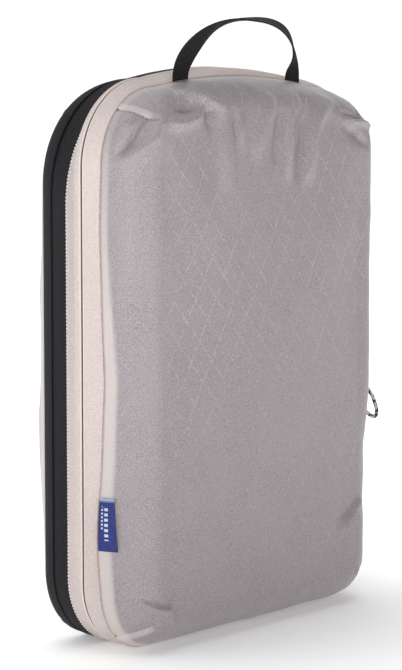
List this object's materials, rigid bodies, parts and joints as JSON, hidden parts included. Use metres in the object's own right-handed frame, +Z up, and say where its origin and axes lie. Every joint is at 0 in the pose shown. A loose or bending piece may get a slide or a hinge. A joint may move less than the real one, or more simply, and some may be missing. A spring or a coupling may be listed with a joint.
{
  "type": "compression packing cube",
  "caption": "Upright stuffed fabric packing cube: two boxed trays on a zippered tape ring with an expansion fold, a webbing handle, a side label and cord zipper pulls.",
  "frame": {"origin": "on the underside of the far half of the compression zipper tape, at the middle of the base the cube stands on", "axes": "+Z up, +X across the width towards the side with the sliders, -Y towards the near tray"},
  "size_m": [0.316, 0.1136, 0.4063],
  "materials": {
    "ripstop_mauve_grey": "thin satin ripstop nylon, warm mauve grey",
    "tape_beige": "matt woven zipper tape, pale beige",
    "tape_black": "matt woven zipper tape, charcoal black",
    "coil_beige": "nylon coil, tan brown",
    "coil_black": "nylon coil, black",
    "binding_grey": "folded seam binding, dark grey",
    "webbing_black": "ribbed black webbing",
    "slider_black": "satin black painted zinc",
    "cord_speckled": "braided cord, black with pale flecks",
    "label_navy": "folded woven label, navy"
  },
  "bodies": {
    "near_shell": {"near_panel": "ripstop_mauve_grey", "near_seam_binding": "binding_grey", "compression_tape_near": "tape_beige", "compression_coil_near": "coil_beige", "compression_end_patch": "tape_beige"},
    "label": {"side_label": "label_navy"},
    "handle": {"grab_handle": "webbing_black"},
    "mid_ring": {"compression_tape_far": "tape_beige", "compression_coil_far": "coil_beige", "expansion_gusset": "ripstop_mauve_grey", "mid_seam_binding": "binding_grey", "main_tape_body": "tape_black", "main_coil_body": "coil_black", "hinge_spine_body": "tape_black"},
    "lid": {"hinge_spine_lid": "tape_black", "main_tape_lid": "tape_black", "main_coil_lid": "coil_black", "far_seam_binding": "binding_grey", "far_panel": "ripstop_mauve_grey"},
    "compression_slider": {"compression_slider": "slider_black"},
    "compression_pull": {"compression_pull_link": "slider_black", "compression_pull_cord": "cord_speckled"},
    "main_slider": {"main_slider": "slider_black"},
    "main_pull": {"main_pull_link": "slider_black", "main_pull_cord": "cord_speckled"}
  },
  "joints": [
    {"name": "expansion", "type": "slide", "parent": "near_shell", "child": "mid_ring", "axis": [0, 1, 0], "range_m": [0, 0.04], "deforming": ["expansion_gusset"]},
    {"name": "lid_hinge", "type": "hinge", "parent": "mid_ring", "child": "lid", "pos_m": [0, 0.0192, 0], "axis": [-1, 0, 0], "range_deg": [0, 175]},
    {"name": "handle_swing", "type": "hinge", "parent": "near_shell", "child": "handle", "pos_m": [0, -0.0192, 0.3651], "axis": [1, 0, 0], "range_deg": [-40, 65]},
    {"name": "label_flap", "type": "hinge", "parent": "near_shell", "child": "label", "pos_m": [-0.13033, -0.02013, 0.0845], "axis": [0, 0, -1], "range_deg": [0, 80]},
    {"name": "compression_slider_travel", "type": "slide", "parent": "near_shell", "child": "compression_slider", "axis": [0, 0, 1], "range_m": [0, 0.12]},
    {"name": "compression_pull_swing", "type": "hinge", "parent": "compression_slider", "child": "compression_pull", "pos_m": [0.1384, -0.0064, 0.1624], "axis": [0, -1, 0], "range_deg": [-30, 94]},
    {"name": "main_slider_travel", "type": "slide", "parent": "mid_ring", "child": "main_slider", "axis": [0, 0, 1], "range_m": [0, 0.2]},
    {"name": "main_pull_swing", "type": "hinge", "parent": "main_slider", "child": "main_pull", "pos_m": [0.1384, 0.0192, 0.0754], "axis": [0, -1, 0], "range_deg": [-2, 130]}
  ]
}
